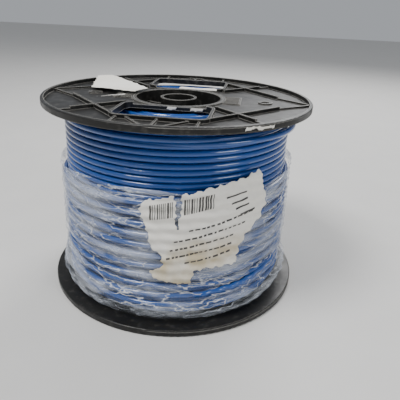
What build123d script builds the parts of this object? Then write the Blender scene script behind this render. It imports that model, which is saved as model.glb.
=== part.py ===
"""Wire spool: a moulded reel of two ribbed flanges on a hollow barrel, wound with building wire,
part-wrapped in stretch film, with the torn remains of its paper labels.
The reel stands on its lower flange. Origin at the bottom centre, +Z along the arbor."""
from build123d import *
import math
import os

# Driving dimensions, millimetres
FLANGE_R = 82.5
HEIGHT = 121.5
RIM_T = 4.0
RIM_W = 2.0
PLATE_T = 1.4
BARREL_R = 28.0
BARREL_WALL = 1.5
ARBOR_R = 11.2
BORE_R = 9.75
HUB_DROP = 1.8
WEB_T = 1.6
WEB_DROP = 8.0
WINDOW_HALF = 25.0
WINDOW_IN = 30.0
WINDOW_OUT = 61.0
FRAME_T = 1.6
RIB_W = 1.2
WIRE_D = 3.3
LAYERS = 14
LAYER_STEP = 2.98
END_GAP = 0.4
LOOSE_TOP = 84.0
LOOSE_R = 73.2
FILM_T = 0.4
PAPER_T = 0.25

PLATE_TOP = PLATE_T
PAPER_Z = HEIGHT - 0.39
RIB_TOP = RIM_T - 0.4
LOW_RIB_TOP = RIM_T - 1.4
WIND_IN = BARREL_R + 0.1
WIND_OUT = WIND_IN + LAYERS * LAYER_STEP
WIND_LOW = RIM_T + END_GAP
WIND_HIGH = HEIGHT - RIM_T - END_GAP


def ring(outer, inner, low, high):
    """A plain tube about Z from low to high."""
    tube = Cylinder(outer, high - low) - Cylinder(inner, high - low)
    return Pos(0, 0, (low + high) / 2) * tube


def turned(profile):
    """A solid of revolution about Z from (radius, height) points."""
    face = make_face(Polyline([(r, 0, z) for r, z in profile], close=True))
    return revolve(face, Axis.Z)


def bar(start, end, low, high, width=RIB_W):
    """A straight upright rib between two plan points."""
    dx = end[0] - start[0]
    dy = end[1] - start[1]
    place = Pos((start[0] + end[0]) / 2, (start[1] + end[1]) / 2, (low + high) / 2)
    return place * Rot(0, 0, math.degrees(math.atan2(dy, dx))) * Box(math.hypot(dx, dy), width, high - low)


def window_block(grow, low, high):
    """A rounded block in the place of the -Y window, grown on every side."""
    width = 2 * (WINDOW_HALF + grow)
    depth = WINDOW_OUT - WINDOW_IN + 2 * grow
    sketch = RectangleRounded(width, depth, 5 + grow)
    block = extrude(sketch, high - low)
    return Pos(0, -(WINDOW_IN + WINDOW_OUT) / 2, low) * block


def rim():
    """The flange's outer ring, with its edges rounded."""
    inner = FLANGE_R - RIM_W
    body = ring(FLANGE_R, inner, 0, RIM_T)
    outer_edges = body.edges().filter_by(GeomType.CIRCLE).group_by(SortBy.RADIUS)[-1]
    return fillet(outer_edges, 0.8)


def quarter_ribs():
    """Ribs of one quarter: a pair that cross between window, hub and rim, and the window's posts."""
    reach = FLANGE_R - RIM_W / 2
    step = (62.0, 16.0)
    rim_end = (reach - 1.0, 1.2)
    low = PLATE_TOP - 0.2
    ribs = bar((26.0, 57.5), step, low, RIB_TOP)
    ribs += bar(step, rim_end, low, LOW_RIB_TOP)
    ribs += bar((26.0, 27.0), (49.5, 52.0), low, RIB_TOP)
    ribs += bar((49.5, 52.0), (56.5, 59.0), low, LOW_RIB_TOP)
    ribs += bar((21.5, WINDOW_OUT + 1), (21.5, 78.0), low, LOW_RIB_TOP)
    ribs += bar((16.0, WINDOW_OUT + 1), (4.5, 76.5), low, LOW_RIB_TOP)
    ribs += bar((4.5, 76.5), (0.0, 76.5), low, LOW_RIB_TOP)
    return ribs


def side_details():
    """On +X: the raised boss, and the ladder of short ribs beside the hub."""
    low = PLATE_TOP - 0.2
    boss = Pos(54, 0, 0) * ring(4.4, 2.6, low, PLATE_TOP + 0.9)
    ladder = bar((38.5, -11), (38.5, 11), low, PLATE_TOP + 0.8, 1.0)
    for rung in range(-3, 4):
        ladder += bar((BARREL_R + 0.6, 3.2 * rung), (38.5, 3.2 * rung), low, PLATE_TOP + 0.8, 1.0)
    return boss + ladder


def flange():
    """One flange, outer face up, with its inner face at z = 0 and its lip at z = RIM_T."""
    plate = ring(FLANGE_R - RIM_W + 0.1, BARREL_R, 0, PLATE_T)
    quarter = quarter_ribs()
    ribs = quarter + mirror(quarter, Plane.YZ)
    ribs += mirror(ribs, Plane.XZ)
    ribs += bar((0, WINDOW_OUT + 1), (0, 78), PLATE_TOP - 0.2, LOW_RIB_TOP)
    ribs += bar((0, -WINDOW_OUT - 1), (0, -78), PLATE_TOP - 0.2, LOW_RIB_TOP)
    side = side_details()
    body = plate + rim() + ribs + side + mirror(side, Plane.YZ)
    body += ring(BARREL_R + 1.5, BARREL_R, 0, RIM_T - HUB_DROP)
    frame = window_block(FRAME_T, 0, RIB_TOP)
    hole = window_block(0, -1, RIM_T + 1)
    body += frame
    body += mirror(frame, Plane.XZ)
    low_wall = Pos(0, WINDOW_IN - FRAME_T, 0) * Box(2 * WINDOW_HALF - 8, 2 * FRAME_T + 1, 2 * RIM_T)
    low_wall = low_wall & Pos(0, 0, RIM_T - HUB_DROP + RIM_T) * Box(200, 200, 2 * RIM_T)
    body -= low_wall
    body -= mirror(low_wall, Plane.XZ)
    body -= hole
    body -= mirror(hole, Plane.XZ)
    return body - Cylinder(BARREL_R, 4 * RIM_T)


def webs():
    """Four upright walls that hold the arbor tube in the barrel."""
    height = HEIGHT - 2 * WEB_DROP
    wall = Box(BARREL_R - BARREL_WALL - ARBOR_R - 0.1, WEB_T, height)
    middle = (BARREL_R - BARREL_WALL + ARBOR_R) / 2
    return [Rot(0, 0, angle) * Pos(middle, 0, HEIGHT / 2) * wall for angle in (30, 150, 210, 330)]


def winding_layer(index):
    """One full-width layer of the winding, as the sleeve that its turns fill."""
    inner = WIND_IN + index * LAYER_STEP
    return ring(inner + LAYER_STEP, inner, WIND_LOW, WIND_HIGH)


def loose_layer():
    """The last, loosely spaced layer over the lower part of the winding, slack at its foot."""
    inner = WIND_OUT
    outline = [(inner, 6), (74, 6), (77, 10), (77, 19), (74, 25), (72.3, 29), (LOOSE_R, 36)]
    return turned(outline + [(LOOSE_R, LOOSE_TOP - 2), (inner + 1.5, LOOSE_TOP), (inner, LOOSE_TOP)])


def stretch_film():
    """Clear film drawn over the loose layer, turned in at its foot."""
    outline = [(74.3, 5.4), (77.4, 9.6), (77.4, 19.3), (74.4, 25.4), (72.8, 29.2)]
    outline += [(LOOSE_R + 0.3, 36), (LOOSE_R + 0.3, LOOSE_TOP + 2)]
    outside = [(r + FILM_T, z) for r, z in reversed(outline)]
    return turned(outline + outside)


def label_patch(points, radius, thickness):
    """Paper bent round the winding: an outline of (arc length from -Y, height) wrapped on a cylinder."""
    flat = [(radius * math.sin(s / radius), 0, z) for s, z in points]
    face = make_face(Polyline(flat, close=True))
    prism = extrude(face, 2 * radius, dir=(0, -1, 0))
    return prism & ring(radius + thickness, radius, 0, HEIGHT)


def side_label():
    """The big torn carton label on the film."""
    outline = [(-4, 68), (-7.5, 75), (-4, 80), (13, 84), (34, 88), (59, 94), (63.5, 89), (68, 73), (64, 65)]
    outline += [(55, 57.5), (50, 51), (48, 40), (34, 40), (24, 39), (21, 30), (12, 30), (-2, 36), (6, 43)]
    outline += [(4, 51), (-1, 53)]
    return label_patch(outline, LOOSE_R + 0.3 + FILM_T + 0.1, PAPER_T)


def flat_paper(points, low):
    """A flat scrap of paper lying at the height low."""
    face = make_face(Polyline([(x, y, low) for x, y in points], close=True))
    return extrude(face, PAPER_T, dir=(0, 0, 1))


def rim_paper():
    """Label residue stuck on the upper rim's edge."""
    low = HEIGHT - RIM_T + 0.7
    band = ring(FLANGE_R + PAPER_T, FLANGE_R, low, HEIGHT - 0.9)
    middle = math.radians(-51)
    reach = 10.0
    away = Pos(FLANGE_R * math.cos(middle), FLANGE_R * math.sin(middle), HEIGHT)
    return band & (away * Box(2 * reach, 2 * reach, 2 * RIM_T))


def window_scrap(low_x, high_x):
    """Paper left hanging on the hub-side wall of the -Y window in the upper flange."""
    width = high_x - low_x
    height = RIM_T - HUB_DROP - 0.2
    place = Pos((low_x + high_x) / 2, -WINDOW_IN - PAPER_T / 2, HEIGHT - HUB_DROP - 0.1 - height / 2)
    return place * Box(width, PAPER_T, height)


os.makedirs("parts", exist_ok=True)
moulded = flange()
nodes = {
    "upper_flange": Pos(0, 0, HEIGHT - RIM_T) * moulded,
    "lower_flange": Pos(0, 0, RIM_T) * Rot(180, 0, 0) * moulded,
    "barrel": ring(BARREL_R, BARREL_R - BARREL_WALL, HUB_DROP, HEIGHT - HUB_DROP),
    "arbor_tube": ring(ARBOR_R, BORE_R, HUB_DROP, HEIGHT - HUB_DROP),
    "arbor_webs": Compound(children=webs()),
    "wire_loose_outer_layer": loose_layer(),
    "wire_loose_top_turn": ring(WIND_OUT + 3.0, WIND_OUT, 106.5, 109.8),
    "stretch_film": stretch_film(),
    "side_label": side_label(),
    "top_label_scrap": flat_paper(
        [(-66, 37), (-58, 44), (-35, 25.5), (-31, 20), (-29.5, 2), (-49, 3), (-58.5, 4.5)],
        PAPER_Z,
    ),
    "top_label_sliver": flat_paper([(-46, -24), (-30, -13), (-31, -11)], PAPER_Z),
    "rim_label_residue": rim_paper(),
    "window_scrap_left": window_scrap(-1.5, 4.5),
    "window_scrap_right": window_scrap(12, 19.8),
    "rear_window_scrap": flat_paper([(-8, 34), (23, 33), (24, 48), (-7, 47)], HEIGHT - RIM_T - END_GAP),
}
for layer in range(LAYERS):
    nodes[f"wire_layer_{layer + 1:02d}"] = winding_layer(layer)
for node, shape in nodes.items():
    export_step(shape, f"parts/{node}.step")
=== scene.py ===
import math

import bpy
import numpy as np
from mathutils import Matrix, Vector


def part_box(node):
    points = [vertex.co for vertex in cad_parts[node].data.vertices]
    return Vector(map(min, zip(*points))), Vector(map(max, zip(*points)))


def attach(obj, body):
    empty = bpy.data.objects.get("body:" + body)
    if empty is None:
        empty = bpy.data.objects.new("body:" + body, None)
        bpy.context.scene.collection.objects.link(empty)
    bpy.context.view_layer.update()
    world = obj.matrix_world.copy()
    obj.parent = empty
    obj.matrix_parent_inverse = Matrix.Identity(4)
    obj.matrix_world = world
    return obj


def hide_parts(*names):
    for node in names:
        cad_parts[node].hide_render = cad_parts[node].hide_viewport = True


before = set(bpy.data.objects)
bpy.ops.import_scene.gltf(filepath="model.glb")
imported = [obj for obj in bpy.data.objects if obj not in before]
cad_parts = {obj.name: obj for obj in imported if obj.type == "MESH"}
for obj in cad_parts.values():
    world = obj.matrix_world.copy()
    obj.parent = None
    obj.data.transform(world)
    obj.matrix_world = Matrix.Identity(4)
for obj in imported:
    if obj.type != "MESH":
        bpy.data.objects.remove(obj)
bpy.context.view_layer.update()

# A wound reel: the CAD mouldings keep their meshes, and wire, film and paper replace plain solids.
BODY = "root"
MM = 0.001
rng = np.random.default_rng(7)

# Sizes read from the frame, in metres
FLANGE_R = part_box("upper_flange")[1].x
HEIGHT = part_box("upper_flange")[1].z
RIM_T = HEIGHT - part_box("upper_flange")[0].z
LAYERS = 14
LABEL_MIDDLE_ANGLE = -math.pi / 2
LABEL_INK_LIFT = 0.22 * MM
LAYER_NAMES = [f"wire_layer_{n:02d}" for n in range(1, LAYERS + 1)]
LAYER_OUT = [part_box(name)[1].x for name in LAYER_NAMES]
LAYER_STEP = LAYER_OUT[1] - LAYER_OUT[0]
WIND_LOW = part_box(LAYER_NAMES[0])[0].z
WIND_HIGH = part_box(LAYER_NAMES[0])[1].z
FILM_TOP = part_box("stretch_film")[1].z
WIRE_R = 1.62 * MM
TURNS = 31
LOOSE_PITCH = 6.3 * MM
FILM_R = LAYER_OUT[-1] + 3.75 * MM
LABEL_R = FILM_R + 0.75 * MM
LOOSE_LOW = 8 * MM + WIRE_R
TEAR_START, TEAR_END = math.radians(-72), math.radians(-16)


def make_camera():
    """The photograph's viewpoint, in flange radii, turned to the row frame's azimuth."""
    distance, height = 3.42 * FLANGE_R, 2.10 * FLANGE_R
    turn, yaw, pitch, roll = [math.radians(a) for a in (10.0, 3.3, 23.7, 2.53)]
    forward = np.array([math.sin(yaw), math.cos(yaw), 0]) * math.cos(pitch)
    forward[2] = -math.sin(pitch)
    right = np.array([math.cos(yaw), -math.sin(yaw), 0])
    up = np.cross(right, forward)
    tilted_right = right * math.cos(roll) + up * math.sin(roll)
    tilted_up = up * math.cos(roll) - right * math.sin(roll)
    axes = Matrix(np.column_stack([tilted_right, tilted_up, -forward]).tolist()).to_4x4()
    data = bpy.data.cameras.new("camera")
    data.sensor_width = 36
    data.lens = 40.05
    camera = bpy.data.objects.new("camera", data)
    bpy.context.scene.collection.objects.link(camera)
    around = Matrix.Rotation(turn, 4, "Z")
    camera.matrix_world = around @ Matrix.Translation((0, -distance, height)) @ axes
    bpy.context.scene.camera = camera


# Mesh helpers

def add_mesh(name, points, faces, material, replaces=()):
    mesh = bpy.data.meshes.new(name)
    mesh.from_pydata(np.asarray(points).tolist(), [], [list(map(int, f)) for f in faces])
    mesh.polygons.foreach_set("use_smooth", [True] * len(mesh.polygons))
    mesh.materials.append(material)
    mesh.validate()
    piece = bpy.data.objects.new(name, mesh)
    bpy.context.scene.collection.objects.link(piece)
    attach(piece, BODY)
    if replaces:
        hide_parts(*replaces)
    return piece


def slow_waves(angle, strength, count=5):
    """A smooth random wander along a winding, from a few slow sines."""
    total = np.zeros_like(angle)
    for _ in range(count):
        total += rng.normal() * np.sin(angle * rng.uniform(0.15, 2.2) + rng.uniform(0, 6.3))
    return total * strength / math.sqrt(count)


def tube(name, centre, radius, sides, material, replaces=()):
    """A closed round tube along a polyline of centre points, with capped ends."""
    along = np.gradient(centre, axis=0)
    along /= np.linalg.norm(along, axis=1)[:, None]
    outward = centre * [1, 1, 0]
    outward /= np.linalg.norm(outward, axis=1)[:, None]
    upward = np.cross(along, outward)
    outward = np.cross(upward, along)
    angles = np.linspace(0, 2 * math.pi, sides, endpoint=False)
    rings = [centre + radius * (math.cos(a) * outward + math.sin(a) * upward) for a in angles]
    points = np.stack(rings, axis=1).reshape(-1, 3)
    count = len(centre)
    i, j = np.meshgrid(np.arange(count - 1), np.arange(sides), indexing="ij")
    near, far = i * sides, (i + 1) * sides
    after = (j + 1) % sides
    faces = np.stack([near + j, near + after, far + after, far + j], axis=-1).reshape(-1, 4).tolist()
    faces.append(list(range(sides))[::-1])
    faces.append([(count - 1) * sides + s for s in range(sides)])
    return add_mesh(name, points, faces, material, replaces)


def winding(name, radius, low, high, turns, steps, sides, material, wander, replaces=(), way=1):
    """Side-by-side helical turns that wander a little, as hand-tensioned wire does."""
    angle = np.linspace(0, turns * 2 * math.pi, int(turns * steps) + 1)
    rise = low + (high - low) * angle / angle[-1]
    spread = slow_waves(angle, wander)
    out = radius + slow_waves(angle, wander * 0.7)
    rise = np.clip(rise + spread, WIND_LOW + WIRE_R, WIND_HIGH - WIRE_R)
    centre = np.stack([out * np.cos(angle), way * out * np.sin(angle), rise], axis=1)
    return tube(name, centre, WIRE_R, sides, material, replaces)


def inside(points, outline):
    """Which of the plan points lie in a closed outline."""
    x, y = points[:, 0], points[:, 1]
    found = np.zeros(len(points), bool)
    for (ax, ay), (bx, by) in zip(outline, np.roll(outline, -1, axis=0)):
        crosses = (ay > y) != (by > y)
        slope = (bx - ax) / (by - ay) if by != ay else 0.0
        found ^= crosses & (x < ax + slope * (y - ay))
    return found


def torn_sheet(name, outline, cell, place, material, replaces, thickness, ragged=0.5, hole=()):
    """A sheet with a torn edge, cut from a fine grid and put in place by a function of (u, v)."""
    outline = np.array(outline, float) * MM
    low, high = outline.min(0), outline.max(0)
    columns, rows = np.ceil((high - low) / cell).astype(int) + 1
    across = low[0] + cell * np.arange(columns + 1)
    upwards = low[1] + cell * np.arange(rows + 1)
    u, v = np.meshgrid(across, upwards, indexing="ij")
    flat = np.stack([u.ravel(), v.ravel()], axis=1)
    middles = np.stack([u[:-1, :-1] + cell / 2, v[:-1, :-1] + cell / 2], axis=-1).reshape(-1, 2)
    shake = ragged * MM * np.sin(middles[:, ::-1] * 310 + 2 * np.sin(middles[:, ::-1] * 700))
    keep = inside(middles + shake, outline)
    if hole:
        keep &= ~inside(middles + shake, np.array(hole, float) * MM)
    keep = keep.reshape(u.shape[0] - 1, u.shape[1] - 1)
    width = v.shape[1]
    quads = [(i * width + j, (i + 1) * width + j, (i + 1) * width + j + 1, i * width + j + 1)
             for i, j in zip(*np.nonzero(keep))]
    used = np.unique(quads)
    renumber = np.full(len(flat), -1)
    renumber[used] = np.arange(len(used))
    points = place(flat[used])
    piece = add_mesh(name, points, renumber[np.array(quads)], material, replaces)
    soften = piece.modifiers.new("soften", "SMOOTH")
    soften.factor = 0.5
    soften.iterations = 3
    solid = piece.modifiers.new("thickness", "SOLIDIFY")
    solid.thickness = thickness
    solid.offset = 0
    return piece


# Materials

def new_material(name):
    material = bpy.data.materials.new(name)
    material.use_nodes = True
    tree = material.node_tree
    shader = tree.nodes["Principled BSDF"]
    return material, tree, shader


def noise(tree, scale, detail=4, stretch=(1, 1, 1)):
    """Noise in the row frame's coordinates."""
    coords = tree.nodes.new("ShaderNodeTexCoord")
    mapping = tree.nodes.new("ShaderNodeMapping")
    mapping.inputs["Scale"].default_value = stretch
    texture = tree.nodes.new("ShaderNodeTexNoise")
    texture.inputs["Scale"].default_value = scale
    texture.inputs["Detail"].default_value = detail
    tree.links.new(coords.outputs["Object"], mapping.inputs["Vector"])
    tree.links.new(mapping.outputs["Vector"], texture.inputs["Vector"])
    return texture.outputs["Fac"]


def ramp(tree, value, start, end, low, high):
    """Value mapped between two stops, as numbers or colours."""
    node = tree.nodes.new("ShaderNodeValToRGB")
    node.color_ramp.elements[0].position = start
    node.color_ramp.elements[1].position = end
    node.color_ramp.elements[0].color = low if isinstance(low, tuple) else (low, low, low, 1)
    node.color_ramp.elements[1].color = high if isinstance(high, tuple) else (high, high, high, 1)
    tree.links.new(value, node.inputs["Fac"])
    return node.outputs["Color"]


def bump(tree, shader, value, strength, distance):
    node = tree.nodes.new("ShaderNodeBump")
    node.inputs["Strength"].default_value = strength
    node.inputs["Distance"].default_value = distance
    tree.links.new(value, node.inputs["Height"])
    tree.links.new(node.outputs["Normal"], shader.inputs["Normal"])


def mix(tree, factor, first, second):
    node = tree.nodes.new("ShaderNodeMix")
    node.data_type = "RGBA"
    tree.links.new(factor, node.inputs["Factor"])
    for value, socket in ((first, node.inputs["A"]), (second, node.inputs["B"])):
        if isinstance(value, tuple):
            socket.default_value = value
        else:
            tree.links.new(value, socket)
    return node.outputs["Result"]


def edge_mask(tree, width):
    """White along convex edges, from how far a bevelled normal leaves the true one."""
    bevel = tree.nodes.new("ShaderNodeBevel")
    bevel.inputs["Radius"].default_value = width
    geometry = tree.nodes.new("ShaderNodeNewGeometry")
    dot = tree.nodes.new("ShaderNodeVectorMath")
    dot.operation = "DOT_PRODUCT"
    tree.links.new(bevel.outputs["Normal"], dot.inputs[0])
    tree.links.new(geometry.outputs["Normal"], dot.inputs[1])
    return ramp(tree, dot.outputs["Value"], 0.86, 0.99, 1.0, 0.0)


def reel_plastic():
    material, tree, shader = new_material("reel_plastic")
    dust = ramp(tree, noise(tree, 240, 8), 0.54, 0.82, 0.0, 0.6)
    black = mix(tree, noise(tree, 30), (0.006, 0.006, 0.006, 1), (0.014, 0.0135, 0.012, 1))
    dusty = mix(tree, dust, black, (0.085, 0.08, 0.072, 1))
    worn = mix(tree, edge_mask(tree, 0.0006), dusty, (0.42, 0.4, 0.36, 1))
    tree.links.new(worn, shader.inputs["Base Color"])
    tree.links.new(ramp(tree, noise(tree, 90), 0.3, 0.7, 0.28, 0.5), shader.inputs["Roughness"])
    shader.inputs["Specular IOR Level"].default_value = 0.32
    bump(tree, shader, noise(tree, 900, 3), 0.2, 0.0002)
    return material


def wire_jacket(name, dark, light):
    material, tree, shader = new_material(name)
    tree.links.new(mix(tree, noise(tree, 45), dark, light), shader.inputs["Base Color"])
    tree.links.new(ramp(tree, noise(tree, 160), 0.3, 0.7, 0.1, 0.26), shader.inputs["Roughness"])
    shader.inputs["Coat Weight"].default_value = 0.7
    shader.inputs["Coat Roughness"].default_value = 0.12
    bump(tree, shader, noise(tree, 130, 2), 0.45, 0.0008)
    return material


def clear_film():
    """Clear film: nearly invisible where it lies smooth, whitish along its stretch lines and creases."""
    material, tree, shader = new_material("clear_film")
    shader.inputs["Base Color"].default_value = (0.72, 0.76, 0.83, 1)
    tree.links.new(ramp(tree, noise(tree, 120), 0.3, 0.7, 0.08, 0.3), shader.inputs["Roughness"])
    haze = ramp(tree, noise(tree, 26, 6, (1, 1, 5)), 0.42, 0.72, 0.03, 0.42)
    creases = tree.nodes.new("ShaderNodeValToRGB")
    for position, level in ((0.475, 0.0), (0.5, 0.5), (0.525, 0.0)):
        stop = creases.color_ramp.elements.new(position)
        stop.color = (level, level, level, 1)
    creases.color_ramp.elements.remove(creases.color_ramp.elements[-1])
    creases.color_ramp.elements.remove(creases.color_ramp.elements[0])
    tree.links.new(noise(tree, 42, 5, (1, 1.4, 5)), creases.inputs["Fac"])
    alpha = tree.nodes.new("ShaderNodeMath")
    alpha.operation = "MAXIMUM"
    tree.links.new(haze, alpha.inputs[0])
    tree.links.new(creases.outputs["Color"], alpha.inputs[1])
    tree.links.new(alpha.outputs["Value"], shader.inputs["Alpha"])
    bump(tree, shader, noise(tree, 70, 6, (1, 1, 4)), 0.9, 0.0016)
    return material


def low_part(tree, start, end):
    """Black below start and white above end, by height in metres."""
    coords = tree.nodes.new("ShaderNodeTexCoord")
    split = tree.nodes.new("ShaderNodeSeparateXYZ")
    tree.links.new(coords.outputs["Object"], split.inputs["Vector"])
    return ramp(tree, split.outputs["Z"], start, end, 0.0, 1.0)


def label_paper(name, stained):
    material, tree, shader = new_material(name)
    clean = mix(tree, noise(tree, 350), (0.74, 0.72, 0.66, 1), (0.84, 0.82, 0.77, 1))
    stain = ramp(tree, noise(tree, 38, 5), 0.42, 0.6, 0.0, 0.85 if stained else 0.12)
    if stained:
        stain = mix(tree, low_part(tree, 0.052, 0.062), stain, (0.02, 0.02, 0.02, 1))
    tree.links.new(mix(tree, stain, clean, (0.5, 0.41, 0.24, 1)), shader.inputs["Base Color"])
    tree.links.new(ramp(tree, noise(tree, 200), 0.3, 0.7, 0.6, 0.85), shader.inputs["Roughness"])
    bump(tree, shader, noise(tree, 1400, 4), 0.3, 0.0001)
    return material


def print_ink():
    material, tree, shader = new_material("print_ink")
    ink = mix(tree, noise(tree, 900), (0.02, 0.02, 0.02, 1), (0.09, 0.085, 0.08, 1))
    tree.links.new(ink, shader.inputs["Base Color"])
    shader.inputs["Roughness"].default_value = 0.6
    return material


# Pieces

def finish_reel(material):
    for name in ("upper_flange", "lower_flange", "barrel", "arbor_tube", "arbor_webs"):
        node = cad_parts[name]
        node.data.materials.clear()
        node.data.materials.append(material)


def wind_wire(material):
    for index, name in enumerate(LAYER_NAMES):
        outer = index == LAYERS - 1
        steps, sides = (96, 12) if outer else (56, 8)
        winding(name + "_turns", LAYER_OUT[index] - LAYER_STEP / 2, WIND_LOW + WIRE_R, WIND_HIGH - WIRE_R,
                TURNS, steps, sides, material, 0.22 * MM, [name], 1 if index % 2 else -1)
    loose_high = FILM_TOP - 5 * MM
    turns = (loose_high - LOOSE_LOW) / LOOSE_PITCH
    winding("loose_outer_turns", LAYER_OUT[-1] + 1.4 * MM, LOOSE_LOW, loose_high, turns, 110, 12,
            material, 0.2 * MM, ["wire_loose_outer_layer"])
    angle = np.linspace(math.radians(-110), math.radians(75), 120)
    out = LAYER_OUT[-1] - 2.4 * MM + 5.4 * MM * np.exp(-((angle - math.radians(-18)) / 0.75) ** 2)
    rise = 108.6 * MM + 1.2 * MM * np.cos(angle)
    path = np.stack([out * np.cos(angle), out * np.sin(angle), rise], axis=1)
    tube("loose_top_turn", path, WIRE_R, 12, material, ["wire_loose_top_turn"])
    angle = np.linspace(TEAR_START, TEAR_END, 90)
    rise = tear_height(angle)
    bow = np.sin((angle - TEAR_START) / (TEAR_END - TEAR_START) * math.pi)
    out = film_radius(angle, rise) - 2.6 * MM + 3.0 * MM * bow
    path = np.stack([out * np.cos(angle), out * np.sin(angle), rise], axis=1)
    tube("turn_in_film_tear", path, WIRE_R, 12, material)


def tear_height(angle):
    """The height of the film's tear, and of the turn that shows in it."""
    return 21.5 * MM + 8 * MM * (angle - TEAR_START)


def film_radius(angle, height):
    """The film's stretched surface: bands over the turns, slack folds, a bulge at its foot."""
    bulge = 2.9 * MM * np.exp(-((height - 15 * MM) / (6.5 * MM)) ** 2)
    pinch = -0.9 * MM * np.exp(-((height - 29 * MM) / (4 * MM)) ** 2)
    bands = 0.5 * MM * np.cos(2 * math.pi * (height - LOOSE_LOW) / LOOSE_PITCH - angle)
    folds = 0.3 * MM * np.sin(9 * angle + height * 260) * np.sin(5 * angle - height * 170)
    crinkle = 0.18 * MM * np.sin(41 * angle + height * 900 + 2 * np.sin(7 * angle))
    slack = 1 + 1.6 * np.exp(-((height - 20 * MM) / (11 * MM)) ** 2)
    return FILM_R + bulge + pinch + bands + slack * (folds + crinkle)


def wrap_film(material):
    around, levels = 520, 160
    angle = np.linspace(0, 2 * math.pi, around, endpoint=False)
    top = FILM_TOP - 1.0 * MM + 0.9 * MM * np.sin(3 * angle + 1) + 0.6 * MM * np.sin(11 * angle)
    low = 6 * MM
    share = np.linspace(0, 1, levels)[:, None]
    height = low + (top[None, :] - low) * share
    spread = np.broadcast_to(angle[None, :], height.shape)
    out = film_radius(spread, height)
    points = np.stack([out * np.cos(spread), out * np.sin(spread), height], axis=-1).reshape(-1, 3)
    i, j = np.meshgrid(np.arange(levels - 1), np.arange(around), indexing="ij")
    after = (j + 1) % around
    corners = [i * around + j, i * around + after, (i + 1) * around + after, (i + 1) * around + j]
    faces = np.stack(corners, axis=-1)
    middle_angle = (angle[j] + math.pi) % (2 * math.pi) - math.pi
    middle = height[i, j]
    along = np.clip((middle_angle - TEAR_START) / (TEAR_END - TEAR_START), 0, 1)
    torn = np.abs(middle - tear_height(middle_angle)) < 2.0 * MM * np.sin(along * math.pi) ** 0.5
    piece = add_mesh("stretch_film_wrap", points, faces[~torn], material, ["stretch_film"])
    solid = piece.modifiers.new("thickness", "SOLIDIFY")
    solid.thickness = 0.08 * MM
    return piece


def on_film(flat, lift=0.0):
    """(arc length from -Y, height) wrapped on the film, following its folds loosely."""
    angle = flat[:, 0] / LABEL_R + LABEL_MIDDLE_ANGLE
    swell = 0.7 * (film_radius(angle, flat[:, 1]) - FILM_R)
    out = LABEL_R + swell + lift
    return np.stack([out * np.cos(angle), out * np.sin(angle), flat[:, 1]], axis=1)


LABEL_OUTLINE = [(-4, 68), (-7.5, 75), (-4, 80), (13, 84), (34, 88), (59, 94), (63.5, 89), (68, 73),
                 (64, 65), (55, 57.5), (50, 51), (48, 40), (34, 40), (24, 39), (21, 30), (12, 30),
                 (-2, 36), (6, 43), (4, 51), (-1, 53)]
SLIT = [(12, 86), (16, 86), (15, 74), (14.2, 64), (13.6, 64), (12.4, 74)]


def side_label(paper, ink):
    """The torn carton label, with a blank bar pattern and dashes where its print was."""
    torn_sheet("side_label_paper", LABEL_OUTLINE, 0.5 * MM, on_film, paper, ["side_label"], 0.15 * MM, 0.7,
               hole=SLIT)
    quads = []

    def strip(s, z, width, height):
        """A printed bar in short steps, so that it follows the paper."""
        slope = 0.2
        tall = height > width
        steps = max(1, math.ceil(max(width, height)))
        for step in range(steps):
            first, last = step / steps, (step + 1) / steps
            left, right = (s, s + width) if tall else (s + width * first, s + width * last)
            low, high = (z + height * first, z + height * last) if tall else (z, z + height)
            quads.append([(left, low + slope * left), (right, low + slope * right),
                          (right, high + slope * right), (left, high + slope * left)])

    for start, end in ((-1.0, 11.5), (17.0, 33.0)):
        place = start
        while place < end:
            width = rng.choice([0.35, 0.35, 0.6, 0.9])
            strip(place, 69.5, width, 8.5)
            place += width + rng.choice([0.4, 0.6, 0.9])
    for row, (start, end) in enumerate([(20, 58), (12, 52), (10, 45), (8, 44), (18, 44)]):
        place = start
        while place < end:
            width = rng.uniform(1.0, 3.2)
            strip(place, 59.0 - 4.8 * row, width, 1.0)
            place += width + rng.uniform(0.5, 1.4)
    for row in range(4):
        strip(40.0 + 3 * row, 72.5 - 4.2 * row, rng.uniform(7, 12), 1.0)
    corners = np.array(quads).reshape(-1, 2) * MM
    points = on_film(corners, LABEL_INK_LIFT)
    faces = np.arange(len(points)).reshape(-1, 4)
    piece = add_mesh("side_label_print", points, faces, ink)
    solid = piece.modifiers.new("thickness", "SOLIDIFY")
    solid.thickness = 0.05 * MM


def flat_scrap(name, outline, level, curl, material, node):
    """Torn paper lying on the moulding, with its edges a little lifted."""
    def place(flat):
        back = np.clip((flat[:, 1] - 12 * MM) / (28 * MM), 0, 1) ** 1.5
        lift = curl * back + 0.15 * MM * (np.sin(flat[:, 0] * 230) * np.cos(flat[:, 1] * 190) + 1)
        return np.column_stack([flat, level + lift])
    torn_sheet(name, outline, 0.8 * MM, place, material, [node], 0.15 * MM, 0.4)


def wall_scrap(name, node, material):
    """Paper left on the window's hub-side wall."""
    low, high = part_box(node)
    outline = [(low.x / MM, low.z / MM), (high.x / MM - 0.6, low.z / MM + 0.5), (high.x / MM, high.z / MM),
               (low.x / MM + 0.7, high.z / MM)]
    middle = (low.y + high.y) / 2

    def place(flat):
        ripple = 0.2 * MM * np.sin(flat[:, 0] * 900) ** 2
        return np.column_stack([flat[:, 0], middle - ripple, flat[:, 1]])
    torn_sheet(name, outline, 0.4 * MM, place, material, [node], 0.12 * MM, 0.2)


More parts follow.
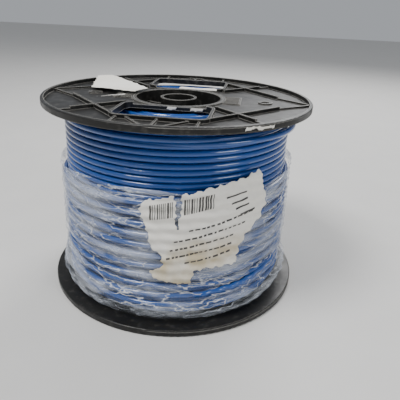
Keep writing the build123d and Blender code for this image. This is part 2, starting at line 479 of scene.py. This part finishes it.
def rim_scrap(material):
    outline = [(-9, 118.4), (-2, 119.6), (-1, 118.2), (4, 119.4), (9, 118.8), (9.5, 120.4), (-8, 120.6)]

    def place(flat):
        angle = flat[:, 0] / FLANGE_R + math.radians(-51)
        out = FLANGE_R + 0.15 * MM
        return np.stack([out * np.cos(angle), out * np.sin(angle), flat[:, 1]], axis=1)
    torn_sheet("rim_residue_paper", outline, 0.4 * MM, place, material, ["rim_label_residue"],
               0.12 * MM, 0.3)


def place_paper(material):
    top_outline = [(-66, 37), (-58, 44), (-35, 25.5), (-23, 14), (-28, -0.5), (-49, 3), (-58.5, 4.5)]
    flat_scrap("top_label_paper", top_outline, HEIGHT - 0.2 * MM, 2.4 * MM, material, "top_label_scrap")
    flat_scrap("top_sliver_paper", [(-46, -24), (-30, -13), (-31, -11)], HEIGHT - 0.3 * MM, 0.2 * MM,
               material, "top_label_sliver")
    flat_scrap("rear_window_paper", [(-8, 34), (23, 33), (24, 48), (-7, 47)], HEIGHT - RIM_T - 0.1 * MM,
               0.3 * MM, material, "rear_window_scrap")
    wall_scrap("window_paper_left", "window_scrap_left", material)
    wall_scrap("window_paper_right", "window_scrap_right", material)
    rim_scrap(material)


# Studio

def make_floor():
    bpy.ops.mesh.primitive_plane_add(size=6)
    floor = bpy.context.object
    floor.name = "floor"
    material, tree, shader = new_material("floor")
    tree.links.new(mix(tree, noise(tree, 25), (0.6, 0.59, 0.57, 1), (0.66, 0.65, 0.63, 1)),
                   shader.inputs["Base Color"])
    shader.inputs["Roughness"].default_value = 0.8
    floor.data.materials.append(material)


def add_light(name, place, size, power):
    data = bpy.data.lights.new(name, "AREA")
    data.size = size
    data.energy = power
    lamp = bpy.data.objects.new(name, data)
    lamp.location = place
    bpy.context.scene.collection.objects.link(lamp)
    aim = -lamp.location.normalized()
    lamp.rotation_euler = aim.to_track_quat("-Z", "Y").to_euler()


def light_studio():
    world = bpy.data.worlds.new("world")
    world.use_nodes = True
    world.node_tree.nodes["Background"].inputs["Color"].default_value = (0.9, 0.94, 1, 1)
    world.node_tree.nodes["Background"].inputs["Strength"].default_value = 0.42
    bpy.context.scene.world = world
    add_light("key", (-0.35, -0.35, 0.9), 0.3, 9)
    add_light("back", (0.25, 0.8, 0.75), 0.5, 8)
    add_light("side", (0.9, -0.5, 0.6), 0.4, 4)


make_camera()
make_floor()
light_studio()
finish_reel(reel_plastic())
wind_wire(wire_jacket("wire_jacket", (0.006, 0.052, 0.235, 1), (0.012, 0.085, 0.33, 1)))
wrap_film(clear_film())
side_label(label_paper("label_stained", True), print_ink())
place_paper(label_paper("label_clean", False))
